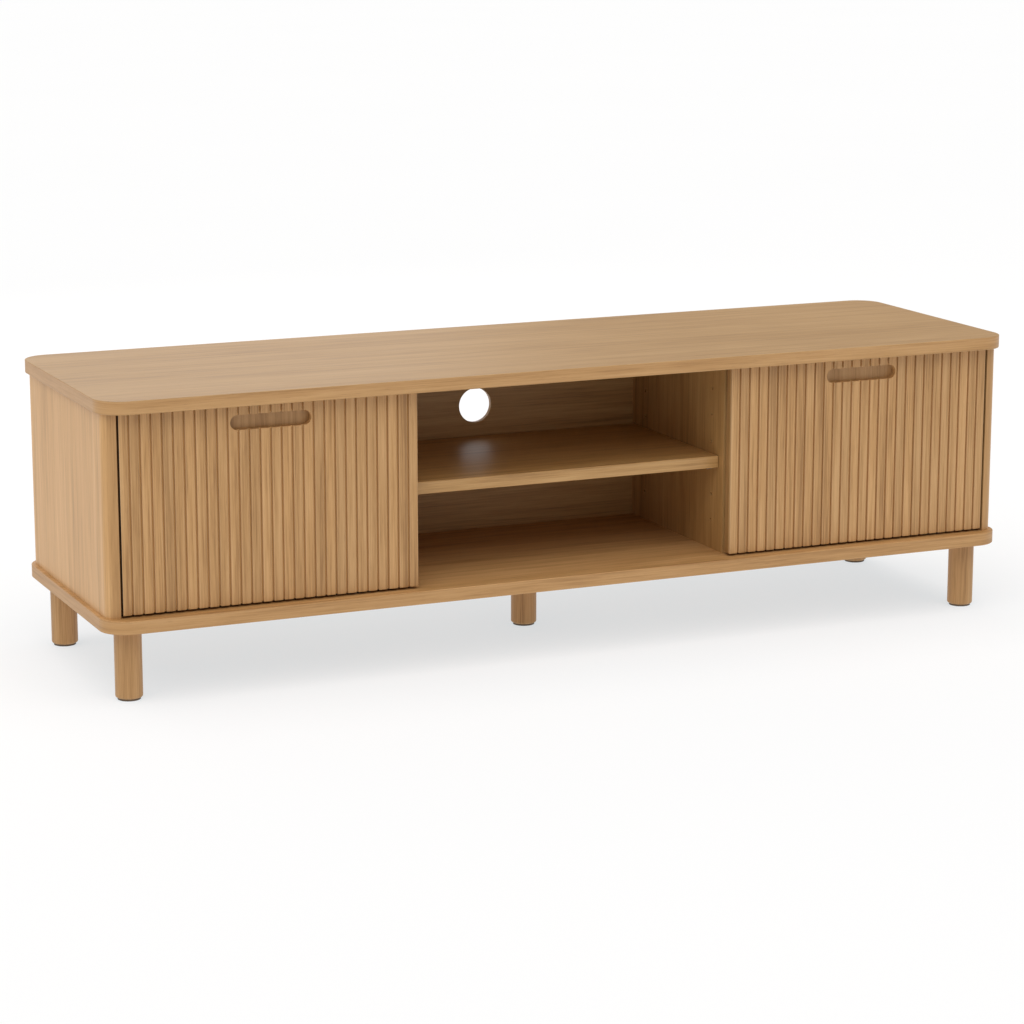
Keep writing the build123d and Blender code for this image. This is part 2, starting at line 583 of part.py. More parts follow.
rod = eye(DOOR_PIVOT) + stay_run(ROD_SPARE, SHUT_L - EYE_R + OVERLAP, STAY_ROD_R)
rod += stay_run(ROD_SPARE, ROD_SPARE + PISTON_L, PISTON_R)
rod -= eye_hole(DOOR_PIVOT)
save_pair("stay_rod", rod)
print(f"stay: shut {SHUT_L:.1f}, open {OPEN_L:.1f}, tube {TUBE_L:.1f}")

side_plate = block(SIDE_IN - STAY_PLATE_T, SIDE_IN, SIDE_PIVOT[0] - STAY_PLATE_W / 2,
                   SIDE_PIVOT[0] + STAY_PLATE_W / 2, SIDE_PIVOT[1] - STAY_PLATE_H / 2,
                   SIDE_PIVOT[1] + STAY_PLATE_H / 2)
side_plate += stud(SIDE_PIVOT, SIDE_IN)
save_pair("stay_side_plate", drilled(side_plate, SIDE_PLATE_SCREWS, STAY_PLATE_T))

door_plate = block(DOOR_PLATE_X - STAY_PLATE_W, DOOR_PLATE_X, DOOR_BACK,
                   DOOR_BACK + STAY_PLATE_T, DOOR_PIVOT[1] - STAY_PLATE_H / 2,
                   DOOR_PIVOT[1] + STAY_PLATE_H / 2)
door_plate += block(DOOR_PLATE_X - STAY_PLATE_T, DOOR_PLATE_X, DOOR_BACK, DOOR_PIVOT[0],
                    DOOR_PIVOT[1] - EYE_R, DOOR_PIVOT[1] + EYE_R)
door_plate += round_bar((DOOR_PLATE_X - STAY_PLATE_T, *DOOR_PIVOT), (1, 0, 0), EYE_R,
                        STAY_PLATE_T)
door_plate += stud(DOOR_PIVOT, DOOR_PLATE_X)
save_pair("stay_door_plate", drilled(door_plate, DOOR_PLATE_SCREWS, STAY_PLATE_T))

# ---- catches, strikes and bumpers ------------------------------------------------
magnet = block(DOOR_MID - MAGNET_W / 2, DOOR_MID + MAGNET_W / 2, CATCH_FRONT,
               CATCH_FRONT + MAGNET_T, CEILING_Z - CATCH_H / 2 - MAGNET_H / 2,
               CEILING_Z - CATCH_H / 2 + MAGNET_H / 2)
catch = block(DOOR_MID - CATCH_W / 2, DOOR_MID + CATCH_W / 2, CATCH_FRONT,
              CATCH_FRONT + CATCH_D, CEILING_Z - CATCH_H, CEILING_Z)
catch = drilled(catch - magnet, CATCH_SCREWS, CATCH_H)
save("catches", catch, flip(catch))
save("catch_magnets", magnet, flip(magnet))
strike = block(DOOR_MID - STRIKE_W / 2, DOOR_MID + STRIKE_W / 2, DOOR_BACK,
               DOOR_BACK + STRIKE_T, STRIKE_TOP - STRIKE_H, STRIKE_TOP)
save_pair("strike_plate", drilled(strike, STRIKE_SCREWS, STRIKE_T))
bumper = round_bar(((DIVIDER_IN + DIVIDER_OUT) / 2, DIVIDER_FRONT, BUMPER_Z), (0, -1, 0),
                   BUMPER_R, DIVIDER_GAP - BUMPER_CLEAR)
save("door_bumpers", bumper, flip(bumper))

# ---- screws ----------------------------------------------------------------------
cabinet_screws = [screw(p, d, CATCH_H + SCREW_IN) for p, d in CATCH_SCREWS]
cabinet_screws += [screw(p, d, FOOT_PLATE_T + SCREW_IN) for p, d in BRACKET_SCREWS]
cabinet_screws += [screw(p, d, STAY_PLATE_T + SCREW_IN) for p, d in SIDE_PLATE_SCREWS]
save("cabinet_fitting_screws", *cabinet_screws, *[flip(s) for s in cabinet_screws])
door_screws = [screw(p, d, LEAF_T + SCREW_IN) for p, d in LEAF_SCREWS + DOOR_PLATE_SCREWS]
door_screws += [screw(p, d, STRIKE_T + SCREW_IN) for p, d in STRIKE_SCREWS]
save_pair("door_screws", *door_screws)
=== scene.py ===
# %% [markdown]
# # A low oak media cabinet
# The frame is the finished engineering model: every board, leg, hinge and stay is
# already in its place.  This script gives it its oak, its metal and its plastic, and
# makes in mesh the pieces that want more detail than the engineering model carries:
# the fluted facing of the two flaps and the heads of the screws.  All lengths are in
# metres; +X runs to the right, +Y to the back and +Z up.

# %% Load the frame
import json
import math
import bmesh
import bpy
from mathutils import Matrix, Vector


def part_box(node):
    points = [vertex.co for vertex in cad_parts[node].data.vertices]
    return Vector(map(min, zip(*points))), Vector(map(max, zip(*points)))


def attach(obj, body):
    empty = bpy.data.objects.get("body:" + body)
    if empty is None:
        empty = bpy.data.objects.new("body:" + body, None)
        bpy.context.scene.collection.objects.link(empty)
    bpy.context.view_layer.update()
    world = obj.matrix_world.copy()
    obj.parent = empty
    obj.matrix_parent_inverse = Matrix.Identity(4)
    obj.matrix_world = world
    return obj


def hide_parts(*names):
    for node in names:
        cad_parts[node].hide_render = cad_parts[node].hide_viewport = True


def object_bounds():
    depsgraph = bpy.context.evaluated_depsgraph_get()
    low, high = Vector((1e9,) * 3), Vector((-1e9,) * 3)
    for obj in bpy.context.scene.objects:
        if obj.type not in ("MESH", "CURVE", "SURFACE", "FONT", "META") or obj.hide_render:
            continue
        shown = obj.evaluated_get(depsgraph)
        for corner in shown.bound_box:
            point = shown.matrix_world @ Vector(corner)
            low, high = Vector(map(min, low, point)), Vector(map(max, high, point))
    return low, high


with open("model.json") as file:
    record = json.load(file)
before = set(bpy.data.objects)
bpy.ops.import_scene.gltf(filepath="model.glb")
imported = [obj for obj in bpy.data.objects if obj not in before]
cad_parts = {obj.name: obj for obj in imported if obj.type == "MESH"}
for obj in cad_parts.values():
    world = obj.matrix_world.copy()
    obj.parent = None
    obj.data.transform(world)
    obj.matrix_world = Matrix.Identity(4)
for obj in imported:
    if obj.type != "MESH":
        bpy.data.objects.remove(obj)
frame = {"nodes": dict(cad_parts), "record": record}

cad_low, cad_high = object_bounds()
print("frame", len(frame["nodes"]), "nodes, box", tuple(cad_low), tuple(cad_high))

# %% [markdown]
# ## Sizes that the looks need
# Nothing is measured twice.  The places come from the boxes of the frame's own
# pieces, so if a board gets thicker or a flap wider, the looks move with it.  Only
# sizes that a box can't tell, such as how many slats a flap has, are stated.

# %% The pitch of the slats
MM = 0.001
SIDES = ("left", "right")
SLAT_COUNT = 28
SLAT_GAP = 3.0 * MM
facing_low, facing_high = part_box("right_door_slats")
slat_pitch = (facing_high[0] - facing_low[0] + SLAT_GAP) / SLAT_COUNT
print("slat pitch", round(slat_pitch / MM, 2), "mm")

# %% [markdown]
# ## Writing a finish as sums
# A finish is a small network of nodes, and a network written node by node is hard to
# read.  So a socket is wrapped in a class that knows how to add, subtract, multiply
# and divide, and answers to abs and floor: `0.4 + 0.2 * fibre` adds its own Math
# nodes.


# %% Wire
class Wire:
    """A node's output that can be used in a sum."""

    def __init__(self, finish, socket):
        self.finish = finish
        self.socket = socket

    def _math(self, operation, first, second):
        return self.finish.add("ShaderNodeMath", {"operation": operation},
                               {0: first, 1: second})

    def __add__(self, other):
        return self._math("ADD", self, other)

    def __radd__(self, other):
        return self._math("ADD", other, self)

    def __sub__(self, other):
        return self._math("SUBTRACT", self, other)

    def __rsub__(self, other):
        return self._math("SUBTRACT", other, self)

    def __mul__(self, other):
        return self._math("MULTIPLY", self, other)

    def __rmul__(self, other):
        return self._math("MULTIPLY", other, self)

    def __truediv__(self, other):
        return self._math("DIVIDE", self, other)

    def __abs__(self):
        return self.finish.add("ShaderNodeMath", {"operation": "ABSOLUTE"}, {0: self})

    def __floor__(self):
        return self.finish.add("ShaderNodeMath", {"operation": "FLOOR"}, {0: self})


print("a Wire turns + - * / abs and floor into Math nodes")

# %% [markdown]
# ## A finish under construction
# All other nodes come from one method, `add`, which takes the node's type, its
# settings and its inputs.  A few more methods give short names to what every finish
# needs: a place along one axis, noise, a soft step, a mix of two colours and a bump.


# %% Finish
class Finish:
    """A material under construction."""

    def __init__(self, name):
        self.material = bpy.data.materials.new(name)
        self.material.use_nodes = True
        self.tree = self.material.node_tree
        self.shader = self.tree.nodes["Principled BSDF"]
        self.place = self.add("ShaderNodeTexCoord", {}, {}, out="Object")

    def add(self, kind, settings, inputs, out=0):
        node = self.tree.nodes.new(kind)
        for key, value in settings.items():
            if key == "stops":
                self._stops(node.color_ramp, value)
            else:
                setattr(node, key, value)
        for key, value in inputs.items():
            self._feed(node.inputs[key], value)
        return Wire(self, node.outputs[out])

    def _stops(self, ramp, stops):
        while len(ramp.elements) < len(stops):
            ramp.elements.new(0.5)
        for element, (position, colour) in zip(ramp.elements, stops):
            element.position = position
            element.color = (*colour, 1.0)

    def _feed(self, socket, value):
        if isinstance(value, Wire):
            self.tree.links.new(value.socket, socket)
        else:
            socket.default_value = value

    def set(self, **values):
        """Feeds the shader: a constant sits on its own socket, a Wire is linked."""
        for name, value in values.items():
            self._feed(self.shader.inputs[name.replace("_", " ")], value)

    def axis(self, index):
        return self.add("ShaderNodeSeparateXYZ", {}, {0: self.place}, out=index)

    def noise(self, scale, shift=(0, 0, 0), detail=2.0, roughness=0.5, distortion=0.0):
        """Noise stretched by a scale along X, Y and Z, in cycles to the metre."""
        place = self.add("ShaderNodeMapping", {},
                         {"Vector": self.place, "Location": shift, "Scale": scale})
        return self.add("ShaderNodeTexNoise", {},
                        {"Vector": place, "Scale": 1.0, "Detail": detail,
                         "Roughness": roughness, "Distortion": distortion})

    def ease(self, value, low, high):
        """0 below low, 1 above high, smooth between."""
        return self.add("ShaderNodeMapRange",
                        {"interpolation_type": "SMOOTHSTEP", "clamp": True},
                        {"Value": value, "From Min": low, "From Max": high})

    def blend(self, first, second, amount, mode="MIX"):
        return self.add("ShaderNodeMix", {"data_type": "RGBA", "blend_type": mode},
                        {0: amount, 6: first, 7: second}, out=2)

    def bump(self, height, depth, strength=1.0):
        return self.add("ShaderNodeBump", {},
                        {"Strength": strength, "Distance": depth, "Height": height})


print("a Finish can", [name for name in vars(Finish) if not name.startswith("_")])

# %% [markdown]
# ## Oak
# The cabinet's boards are chipboard under a sliced oak veneer, and its posts, slats
# and legs are solid oak; all have a matt clear lacquer.  Cut this way, oak shows long
# nearly straight streaks, finer fibres between them, and short dark pores.  A picture
# of oak would repeat and would need a map on every piece.  Here three noises do it,
# each stretched along the grain, read in the cabinet's own space: the streaks then
# run on round an edge as they do on a real board.  The number of cycles to the metre
# across the grain sets how fine each one is.  A fourth, very slow noise makes one part
# of a board a little paler than another.

# %% The oak finish
OAK_LIGHT = (0.610, 0.370, 0.168)
OAK_MID = (0.500, 0.282, 0.110)
OAK_DARK = (0.345, 0.180, 0.062)
OAK_PORE = (0.220, 0.106, 0.037)
VENEER = (1.0, 1.0, 1.0)
SOLID = (1.0, 0.955, 0.89)
# painted shade: boards inside the bays take this darker, warmer tint for the dim inside
INSIDE_PAINTED_SHADE = (0.93, 0.91, 0.80)
GRAIN_X, GRAIN_Z, GRAIN_ROUND = 0, 2, 3
DRIFT = (1.1, 12.0)          # cycles to the metre, along and across the grain
STREAK = (3.0, 85.0)
FIBRE = (10.0, 420.0)
PORE = (42.0, 1500.0)
FIGURE_SPREAD = 3.8
PORE_EDGE = (0.66, 0.78)
PORE_SHADE = 0.38
GLOSS_SPREAD = 0.16
GRAIN_RELIEF = 0.12 * MM


def along_grain(grain, along, across):
    """A scale for each axis: few cycles along the grain, many across it."""
    if grain == GRAIN_ROUND:    # level on every upright face
        return along, along, across
    return tuple(along if i == grain else across for i in range(3))


def oak_figure(f, grain, seed, contrast):
    """The colour of bare oak, its fibres and its pores."""
    shift = (seed * 3.7, seed * 5.3, seed * 7.1)
    drift = f.noise(along_grain(grain, *DRIFT), shift, detail=2.0)
    streak = f.noise(along_grain(grain, *STREAK), shift, detail=4.0, roughness=0.65,
                     distortion=0.2)
    fibre = f.noise(along_grain(grain, *FIBRE), shift, detail=3.0, roughness=0.65)
    pore = f.noise(along_grain(grain, *PORE), shift, detail=1.0)
    figure = drift * 0.16 + streak * 0.42 + fibre * 0.42
    figure = (figure - 0.5) * (FIGURE_SPREAD * contrast) + 0.5
    colour = f.add("ShaderNodeValToRGB",
                   {"stops": [(0.0, OAK_DARK), (0.45, OAK_MID), (1.0, OAK_LIGHT)]},
                   {0: figure})
    dark_pore = f.ease(pore, *PORE_EDGE) * PORE_SHADE
    return f.blend(colour, (*OAK_PORE, 1.0), dark_pore), fibre, dark_pore


def tinted(f, colour, tint, tone):
    return f.blend(colour, (*[tone * c for c in tint], 1.0), 1.0, mode="MULTIPLY")


def oak(name, grain, seed, tint=VENEER, tone=1.0, contrast=1.0, gloss=0.46):
    """Returns the Finish and its colour, so that a caller can add to it."""
    f = Finish(name)
    colour, fibre, dark_pore = oak_figure(f, grain, seed, contrast)
    colour = tinted(f, colour, tint, tone)
    f.set(Base_Color=colour, Roughness=gloss + GLOSS_SPREAD * (fibre - 0.5),
          Normal=f.bump(fibre * 0.6 - dark_pore, GRAIN_RELIEF, 0.5))
    return f, colour


# painted shade: the shelf, back and divider take the darker inside tint
shelf_oak, _ = oak("oak_veneer_shelf", GRAIN_X, 3.1, INSIDE_PAINTED_SHADE, contrast=1.2, gloss=0.39)
back_oak, _ = oak("oak_veneer_back", GRAIN_X, 4.7, INSIDE_PAINTED_SHADE, contrast=1.0)
divider_oak, _ = oak("oak_veneer_divider", GRAIN_Z, 5.9, INSIDE_PAINTED_SHADE, contrast=1.0)
leg_oak, _ = oak("solid_oak_leg", GRAIN_Z, 8.8, SOLID, tone=0.92, contrast=0.95)
print("four oak finishes")

# %% [markdown]
# ## Panels with an edge band
# The top and the bottom panel are veneered with the grain running along the cabinet,
# and a strip of oak is bent round their edge.  Its grain follows the edge, corners
# and all.  A UV map could turn the grain at each corner, but an easier way is a noise
# that changes quickly only with height: its streaks lie level on every upright face.

# %% Top and bottom panel finishes
BAND_EDGE = (0.4 * MM, 1.3 * MM)
BAND_CONTRAST = 0.8
TOP_TINT = (1.0, 1.0, 0.93)


def panel_oak(name, node, seed, tint, tone, band_tone, contrast, gloss=0.46):
    f, colour = oak(name, GRAIN_X, seed, tint, tone, contrast, gloss)
    band, _fibre, _pore = oak_figure(f, GRAIN_ROUND, seed + 0.5, BAND_CONTRAST)
    low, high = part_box(node)
    height = f.axis(2)
    under_top = f.ease(high[2] - height, *BAND_EDGE)
    over_foot = f.ease(height - low[2], *BAND_EDGE)
    band = tinted(f, band, SOLID, band_tone)
    f.set(Base_Color=f.blend(colour, band, under_top * over_foot))
    return f


# painted shade: the top takes a darker tone (0.84) to hold back the strong light from above
top_oak = panel_oak("oak_veneer_top", "top_panel", 1.0, TOP_TINT, 0.84, 0.95,
                    contrast=0.9, gloss=0.42)
bottom_oak = panel_oak("oak_veneer_bottom", "bottom_panel", 2.3, SOLID, 1.0, 0.96,
                       contrast=1.2)
print("panel finishes, band from", BAND_EDGE, "inside each face")

# %% [markdown]
# ## The two ends and their joints
# The outer face of each post is veneered together with the side panel, and both are
# painted paler than the rest: a painted light for the light that falls on the ends,
# so that an end reads as one pale board, while the post's front shows its solid oak.
# On the rounded corner one passes into the other.
#
# Where a post meets the side panel, a thin paler line runs from top to bottom.  It
# could be a groove in the mesh, but the two boards are flush, so the finish draws it:
# a band of a fixed width beside each of the two joints, with a soft edge.

# %% Side panel oak with its two glue lines, and the posts
side_low, side_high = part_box("right_side_panel")
GLUE_LINE = 2.4 * MM
GLUE_LINE_CORE = 0.3 * GLUE_LINE
# a thin paler line along each joint between post and side panel
PALE_JOINT_LINE = (0.72, 0.48, 0.26, 1.0)
# painted light: the two ends take this paler tone for the light falling on them
END_PAINTED_LIGHT_TONE = 1.25
SIDE_CONTRAST = 0.7
CORNER_DEPTH = (11.0 * MM, 1.0 * MM)
END_SEED = 9.6


def post_oak_finish():
    f, colour = oak("solid_oak_post", GRAIN_Z, END_SEED, SOLID, tone=0.95,
                    contrast=SIDE_CONTRAST)
    figure, _fibre, _pore = oak_figure(f, GRAIN_Z, END_SEED, SIDE_CONTRAST)
    # painted light: the post's outer face takes the ends' paler tone
    outer = f.ease(side_high[0] - abs(f.axis(0)), *CORNER_DEPTH)
    f.set(Base_Color=f.blend(colour, tinted(f, figure, VENEER, END_PAINTED_LIGHT_TONE), outer))
    return f


def side_oak():
    f, colour = oak("oak_veneer_side", GRAIN_Z, END_SEED, tone=END_PAINTED_LIGHT_TONE,
                    contrast=SIDE_CONTRAST)
    depth = f.axis(1)
    front = f.ease(depth - side_low[1], GLUE_LINE, GLUE_LINE_CORE)
    back = f.ease(side_high[1] - depth, GLUE_LINE, GLUE_LINE_CORE)
    f.set(Base_Color=f.blend(colour, PALE_JOINT_LINE, (front + back) * 0.55))
    return f


post_oak = post_oak_finish()
side_finish = side_oak()
print("side panel joints at", round(side_low[1], 4), "and", round(side_high[1], 4))

# %% [markdown]
# ## Slat oak
# Each slat is ripped from another part of the plank, so neighbours differ a little
# in tone.  Their rounded edges, and with them the walls of the grooves, are painted
# paler: a painted highlight on each arris, which also lightens the shade between the
# slats.  The slat's number is how many pitches it stands from the flap's end, rounded
# down, and white noise on that number gives each its own tone.  The distance to the
# nearer edge, from what is left after rounding down, gives the painted highlight.
#
# The flap's outer end, beside the post, is painted nearly black: a painted shade, so
# that the narrow gap reads as one even dark line.

# %% Slat finish, one for each flap
SLAT_SEED = {"left": 15.0, "right": 16.0}
SLAT_TONES = (0.90, 1.05)
# painted highlight on the slats' rounded edges and on the groove walls
ARRIS_PAINTED_HIGHLIGHT = (0.66, 0.43, 0.22, 1.0)
ARRIS_EDGE = (0.30, 0.40)    # from the slat's middle, in pitches
# painted shade for the narrow gap beside the post
GAP_PAINTED_SHADE = (0.020, 0.012, 0.007, 1.0)
GAP_SHADE_DEPTH = 0.8 * MM


def slat_oak(side):
    low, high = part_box(f"{side}_door_slats")
    f, colour = oak(f"solid_oak_slats_{side}", GRAIN_Z, SLAT_SEED[side], SOLID,
                    contrast=1.2)
    steps = (f.axis(0) - (low[0] - SLAT_GAP / 2)) / slat_pitch
    number = math.floor(steps)
    own = f.add("ShaderNodeTexWhiteNoise", {"noise_dimensions": "1D"}, {1: number}, out=0)
    # painted highlight: paler near each slat's edge and on the groove walls
    pale = f.ease(abs(steps - number - 0.5), *ARRIS_EDGE)
    shade = f.add("ShaderNodeMapRange", {},
                  {"Value": own, "To Min": SLAT_TONES[0], "To Max": SLAT_TONES[1]})
    shade = f.add("ShaderNodeCombineXYZ", {}, {0: shade, 1: shade, 2: shade})
    colour = f.blend(colour, shade, 1.0, mode="MULTIPLY")
    colour = f.blend(colour, ARRIS_PAINTED_HIGHLIGHT, pale * 0.55)
    # painted shade: the outer end is darkened so that the gap beside the post reads black
    outer_end, inwards = (low[0], 1) if side == "left" else (high[0], -1)
    gap_shade = f.ease(f.axis(0), outer_end + inwards * GAP_SHADE_DEPTH,
                     outer_end + inwards * GAP_SHADE_DEPTH / 2)
    f.set(Base_Color=f.blend(colour, GAP_PAINTED_SHADE, gap_shade))
    return f


slat_finish = {side: slat_oak(side) for side in SIDES}
print("slat finishes", [f.material.name for f in slat_finish.values()])

# %% [markdown]
# ### The board behind the slats
# Between two slats the board shows as the floor of a groove.  It is painted pale and
# warm there, a painted light that lifts the shade deep in the grooves, and the pocket
# of the pull, cut deeper, keeps the darker veneer.  So the finish changes with the depth
# alone.

# %% Flap board finish
# painted light: the groove floors take this paler colour to lift their shade
GROOVE_PAINTED_LIGHT = (0.66, 0.385, 0.140, 1.0)
GROOVE_LIGHT_DEPTH = (1.5 * MM, 0.5 * MM)


def door_board_oak():
    f, colour = oak("oak_veneer_door_board", GRAIN_Z, 6.4, SOLID, tone=0.84)
    # painted light: the board is lightened just behind the slats, on the groove floors
    groove_light = f.ease(f.axis(1), *[facing_high[1] + depth for depth in GROOVE_LIGHT_DEPTH])
    f.set(Base_Color=f.blend(colour, GROOVE_PAINTED_LIGHT, groove_light * 0.8))
    return f


door_oak = door_board_oak()
print("board finish", door_oak.material.name)

# %% [markdown]
# ## Metal, plastic and rubber
# The hinges, stays and screws are pressed steel with bright zinc plating, which is
# never quite even: a fine noise varies how sharp its reflections are.  The cams are
# cast zinc, greyer and rougher.  The glides and catches are moulded plastic with a
# very fine spark-eroded texture, and the bumpers are soft clear rubber.

# %% Fittings' finishes
PLATING_RELIEF = 0.03 * MM
SPARK_RELIEF = 0.02 * MM
SPARK_SCALE = (2600, 2600, 2600)


def metal(name, colour, gloss, grain_scale):
    f = Finish(name)
    cloud = f.noise((60, 60, 60), detail=3.0)
    fine = f.noise(grain_scale, detail=2.0)
    tint = f.blend((*colour, 1.0), (*[c * 0.82 for c in colour], 1.0), cloud)
    f.set(Base_Color=tint, Metallic=1.0, Roughness=gloss + 0.16 * (fine - 0.5),
          Normal=f.bump(fine, PLATING_RELIEF, 0.4))
    return f


def moulded(name, colour, gloss):
    f = Finish(name)
    cloud = f.noise((35, 35, 35), detail=2.0)
    spark = f.noise(SPARK_SCALE, detail=1.0)
    tint = f.blend((*colour, 1.0), (*[min(c * 1.35, 1) for c in colour], 1.0), cloud)
    f.set(Base_Color=tint, Roughness=gloss + 0.12 * (spark - 0.5),
          Normal=f.bump(spark, SPARK_RELIEF, 0.6))
    return f


steel = metal("bright_steel", (0.66, 0.66, 0.67), 0.30, (500, 500, 40))
zinc = metal("cast_zinc", (0.50, 0.50, 0.52), 0.46, (900, 900, 900))
magnet = metal("magnet_iron", (0.20, 0.20, 0.21), 0.42, (700, 700, 700))
glide_plastic = moulded("glide_plastic", (0.115, 0.072, 0.040), 0.55)
catch_plastic = moulded("catch_plastic", (0.23, 0.145, 0.08), 0.48)
bumper_rubber = moulded("bumper_rubber", (0.55, 0.53, 0.50), 0.35)
dowel_beech, _ = oak("dowel_beech", GRAIN_Z, 13.0, tone=1.08, contrast=0.5)
print("fittings' finishes are ready")

# %% [markdown]
# ## Dressing the frame's own pieces
# Most pieces keep the frame's shape, and only take a finish.  The tables below name
# the finish of each board, leg and post, and the fittings take that of their slot in
# the frame's record.

# %% Give each frame piece its finish
BOARD_FINISH = {
    "top_panel": top_oak, "bottom_panel": bottom_oak, "center_shelf": shelf_oak,
    "back_panel": back_oak, "center_leg": leg_oak, "dowels": dowel_beech,
    "shelf_pegs": steel,
}
PAIR_FINISH = {"side_panel": side_finish, "divider": divider_oak, "front_post": post_oak,
               "rear_post": post_oak, "door_board": door_oak}
SLOT_FINISH = {"glide_plastic": glide_plastic, "catch_plastic": catch_plastic,
               "bumper_rubber": bumper_rubber, "cast_zinc": zinc, "magnet_iron": magnet,
               "bright_steel": steel}
slot_of = {part["node"]: part["material_slot"] for part in frame["record"]["subparts"]}


def finish_for(node):
    if node in BOARD_FINISH:
        return BOARD_FINISH[node]
    if node.endswith("_leg"):
        return leg_oak
    for side in SIDES:
        if node.removeprefix(side + "_") in PAIR_FINISH:
            return PAIR_FINISH[node.removeprefix(side + "_")]
        if node == f"{side}_door_slats":
            return slat_finish[side]
    return SLOT_FINISH[slot_of[node]]


def dress(obj, finish):
    if not obj.material_slots:
        obj.data.materials.append(None)
    for place in obj.material_slots:
        place.material = finish.material


for node, obj in frame["nodes"].items():
    dress(obj, finish_for(node))
print("dressed", len(frame["nodes"]), "pieces")

# %% [markdown]
# ## Fluted facing
# A flap is a board faced with narrow slats, glued on with a small gap between, and a
# finger pull is then routed through them into the board.  One slat is made on its own
# with rounded arrises and a rounded foot; Geometry Nodes then sets a copy at every
# pitch, as a jig would.  The result is made a plain mesh, and the router's path is cut
# from it with a Boolean, which is what the real cutter does.

# %% One slat
SLAT_ARRIS = 1.8 * MM
SLAT_FOOT = 3.0 * MM
ROUNDING_STEPS = 4
SAME_PLACE = 1e-6


def new_piece(name, mesh):
    obj = bpy.data.objects.new(name, mesh)
    bpy.context.scene.collection.objects.link(obj)
    return obj


def mesh_from(bm, name):
    bmesh.ops.recalc_face_normals(bm, faces=bm.faces)
    mesh = bpy.data.meshes.new(name)
    bm.to_mesh(mesh)
    bm.free()
    return mesh


def round_over(bm, edges, radius):
    bmesh.ops.bevel(bm, geom=edges, offset=radius, segments=ROUNDING_STEPS, profile=0.5,
                    affect="EDGES")


def slat_mesh(low, high):
    """A slat at the flap's left end: its front is at low y, its foot at low z."""
    width = slat_pitch - SLAT_GAP
    bm = bmesh.new()
    bmesh.ops.create_cube(bm, size=1.0)
    size = Vector((width, high[1] - low[1], high[2] - low[2]))
    middle = Vector((low[0] + width / 2, (low[1] + high[1]) / 2, (low[2] + high[2]) / 2))
    for v in bm.verts:
        v.co = Vector(v.co[i] * size[i] for i in range(3)) + middle

    def on_front(edge):
        return all(abs(v.co.y - low[1]) < SAME_PLACE for v in edge.verts)

    upright = [e for e in bm.edges if on_front(e)
               and abs(e.verts[0].co.x - e.verts[1].co.x) < SAME_PLACE]
    round_over(bm, upright, SLAT_ARRIS)
    lowest = [e for e in bm.edges if on_front(e)
              and all(abs(v.co.z - low[2]) < SAME_PLACE for v in e.verts)]
    round_over(bm, lowest, SLAT_FOOT)
    return mesh_from(bm, "one_slat")


slat_source = {side: slat_mesh(*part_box(f"{side}_door_slats")) for side in SIDES}
print("one slat has", len(slat_source["left"].polygons), "faces")

# %% [markdown]
# ### Setting the slats
# The tree has one job: a line of points, a slat on each, all made real and given
# their finish.  The slat comes in as the modifier's own mesh, and the count, the pitch
# and the finish are named inputs, so the same tree serves both flaps.


# %% The slat jig, as Geometry Nodes
def new_tree(name, inputs):
    """An empty Geometry Nodes tree with a geometry in and out, and named inputs."""
    tree = bpy.data.node_groups.new(name, "GeometryNodeTree")
    face = tree.interface
    face.new_socket(name="Geometry", in_out="INPUT", socket_type="NodeSocketGeometry")
    for title, kind in inputs:
        face.new_socket(name=title, in_out="INPUT", socket_type=kind)
    face.new_socket(name="Geometry", in_out="OUTPUT", socket_type="NodeSocketGeometry")
    return tree, tree.nodes.new("NodeGroupInput"), tree.nodes.new("NodeGroupOutput")


def run_tree(obj, tree, **values):
    """Runs a tree on an object and keeps the result as a plain mesh."""
    modifier = obj.modifiers.new(tree.name, "NODES")
    modifier.node_group = tree
    for item in tree.interface.items_tree:
        if item.in_out == "INPUT" and item.name in values:
            modifier[item.identifier] = values[item.name]
    return bake(obj)


def bake(obj):
    """Turns an object's modifiers into its mesh."""
    bpy.context.view_layer.update()
    graph = bpy.context.evaluated_depsgraph_get()
    mesh = bpy.data.meshes.new_from_object(obj.evaluated_get(graph))
    obj.modifiers.clear()
    obj.data = mesh
    return obj


def slat_jig():
    tree, source, result = new_tree("slat_jig", [("Count", "NodeSocketInt"),
                                                 ("Pitch", "NodeSocketFloat"),
                                                 ("Finish", "NodeSocketMaterial")])
    make, link = tree.nodes.new, tree.links.new
    step = make("ShaderNodeCombineXYZ")
    line = make("GeometryNodeMeshLine")
    place = make("GeometryNodeInstanceOnPoints")
    real = make("GeometryNodeRealizeInstances")
    paint = make("GeometryNodeSetMaterial")
    link(source.outputs["Pitch"], step.inputs["X"])
    link(source.outputs["Count"], line.inputs["Count"])
    link(step.outputs[0], line.inputs["Offset"])
    link(line.outputs[0], place.inputs["Points"])
    link(source.outputs["Geometry"], place.inputs["Instance"])
    link(place.outputs[0], real.inputs[0])
    link(real.outputs[0], paint.inputs["Geometry"])
    link(source.outputs["Finish"], paint.inputs["Material"])
    link(paint.outputs[0], result.inputs[0])
    return tree


SLAT_JIG = slat_jig()
print("slat jig inputs:", [item.name for item in SLAT_JIG.interface.items_tree])

# %% [markdown]
# ### Routing the finger pull
# A round-ended slot has straight sides and two half circles.  Its cutter reaches in
# front of the slats and stops at the board, where the frame's own pocket goes on.

# %% The router's path
PULL_LENGTH = 124.0 * MM
PULL_HEIGHT = 22.0 * MM
PULL_DROP = 23.5 * MM
PULL_STEPS = 20
CUTTER_IN_FRONT = 2 * MM
CUTTER_BEHIND = 1 * MM


